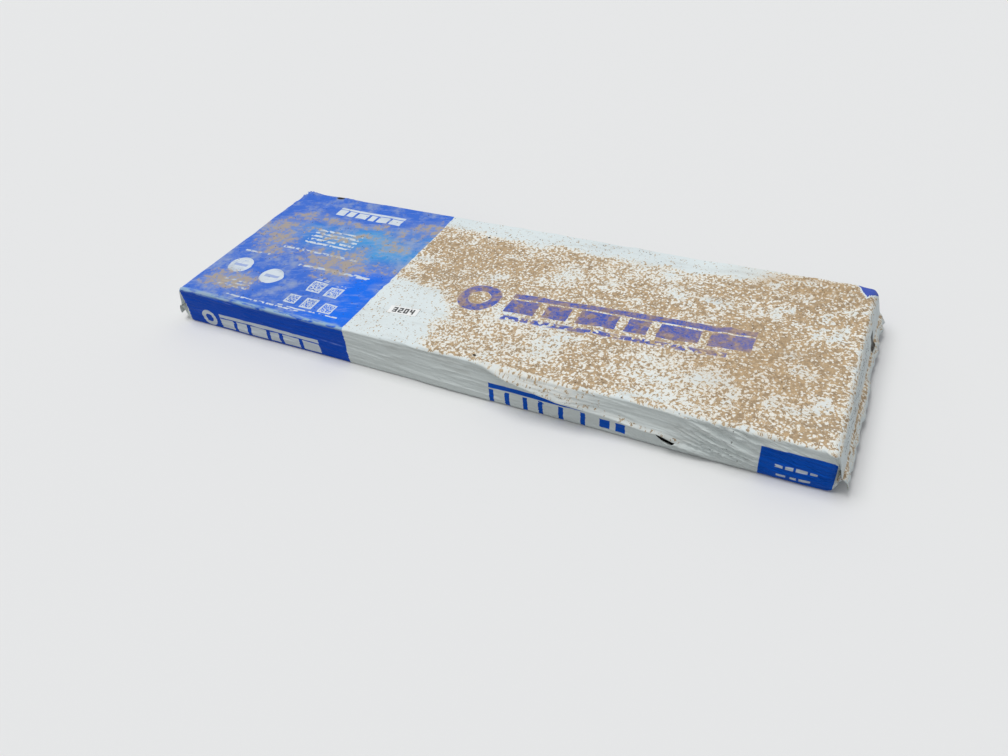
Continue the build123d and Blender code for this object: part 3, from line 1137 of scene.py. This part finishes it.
def digit_bars(left):
    """The places of a digit's seven bars, by their letters."""
    low, middle, high = DIGIT_LOW, DIGIT_LOW + DIGIT_HEIGHT / 2, DIGIT_LOW + DIGIT_HEIGHT
    right, stroke = left + DIGIT_WIDTH, DIGIT_STROKE
    return {
        "a": (left, right, high - stroke, high),
        "b": (right - stroke, right, middle, high),
        "c": (right - stroke, right, low, middle),
        "d": (left, right, low, low + stroke),
        "e": (left, left + stroke, low, middle),
        "f": (left, left + stroke, middle, high),
        "g": (left, right, middle - stroke / 2, middle + stroke / 2),
    }


def sticker_material():
    """White paper with four plain block digits."""
    look = Surface("sticker_paper")
    sheet = look.node("UVMap")
    sheet.uv_map = "sheet"
    u, v, _ = look.split(sheet.outputs[0])
    x, y = u * STICKER_LENGTH, v * STICKER_WIDTH
    ink = x * 0.0
    for count, digit in enumerate(STICKER_DIGITS):
        bars = digit_bars(DIGIT_LEFT + count * DIGIT_PITCH)
        for bar in DIGITS[digit]:
            ink = ink.either(box_mask(x, y, *bars[bar], 0.12))
    place = look.place(x, y)
    fibre = look.noise(place, 0.8, 3, 0.6)
    paper = look.mix(fibre, PAPER_WHITE, PAPER_SHADE)
    smudge = look.noise(place, 9, 4, 0.7).step(0.55, 0.8)
    paper = look.mix(smudge * 0.25, paper, PAPER_SMUDGE)
    colour = look.mix(ink * 0.95, paper, DIGIT_BLACK)
    look.bump(fibre, 0.05 * MM, 0.5)
    return look.finish(colour, 0.55)


film = build_film()
sticker = build_sticker(film)
film.data.materials.append(film_material())
sticker.data.materials.append(sticker_material())
shingle_look = shingle_material()
for name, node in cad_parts.items():
    if name.startswith("shingle_"):
        node.data.materials.clear()
        node.data.materials.append(shingle_look)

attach(film, "root")
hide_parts("film_wrap")
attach(sticker, "root")
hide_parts("number_sticker")

# The floor, the light and the camera

FLOOR_HALF = 8
FLOOR_SEEN, FLOOR_LIT = (0.8, 0.8, 0.79, 1), (0.46, 0.46, 0.45, 1)
WORLD_SEEN, WORLD_LIT = (0.78, 0.795, 0.805, 1), (0.44, 0.45, 0.47, 1)
SKY_FROM = (-0.35, -0.03, 0.93)
# How wide the lamp is, in degrees, and how strong.
SKY_SPREAD, SKY_STRENGTH = 36, 1.8
# The camera, in metres and degrees, and its focal length and picture width in pixels.
CAMERA_PLACE = (0.4848, -0.8584, 0.7186)
CAMERA_TURN = (49.777, 4.769, 26.278)
CAMERA_FOCUS = 779.0
PHOTO_WIDTH = 1008.0


def seen_or_lit(tree, seen, lit):
    """A colour for what the camera and reflections see, and another for what lights things."""
    path = tree.nodes.new("ShaderNodeLightPath")
    rays = ("Is Camera Ray", "Is Glossy Ray", "Is Transmission Ray")
    total = either([Field(tree, path.outputs[ray]) for ray in rays])
    return mixed(tree, total, lit, seen)


def make_floor():
    corners = [(x * FLOOR_HALF, y * FLOOR_HALF, 0) for x, y in ((-1, -1), (1, -1), (1, 1), (-1, 1))]
    floor = mesh_object("floor", corners, [(0, 1, 2, 3)])
    look = Surface("floor")
    colour = seen_or_lit(look.tree, FLOOR_SEEN, FLOOR_LIT)
    floor.data.materials.append(look.finish(colour, 0.95))


def make_light():
    """A pale surround and one wide soft lamp, as under an overcast sky."""
    world = bpy.data.worlds.new("world")
    bpy.context.scene.world = world
    world.use_nodes = True
    tree = world.node_tree
    colour = seen_or_lit(tree, WORLD_SEEN, WORLD_LIT)
    tree.links.new(colour, tree.nodes["Background"].inputs[0])
    lamp = bpy.data.lights.new("sky", "SUN")
    lamp.angle = math.radians(SKY_SPREAD)
    lamp.energy = SKY_STRENGTH
    sky = bpy.data.objects.new("sky", lamp)
    sky.rotation_euler = Vector(SKY_FROM).to_track_quat("Z", "Y").to_euler()
    bpy.context.scene.collection.objects.link(sky)


def make_camera():
    """The camera, placed as for the photo."""
    camera = bpy.data.cameras.new("camera")
    camera.sensor_width = 36.0
    camera.lens = CAMERA_FOCUS / PHOTO_WIDTH * camera.sensor_width
    camera.clip_start = 0.01
    holder = bpy.data.objects.new("camera", camera)
    holder.location = CAMERA_PLACE
    holder.rotation_euler = [math.radians(a) for a in CAMERA_TURN]
    bpy.context.scene.collection.objects.link(holder)
    bpy.context.scene.camera = holder


make_floor()
make_light()
make_camera()
bpy.context.scene.view_settings.view_transform = "Standard"
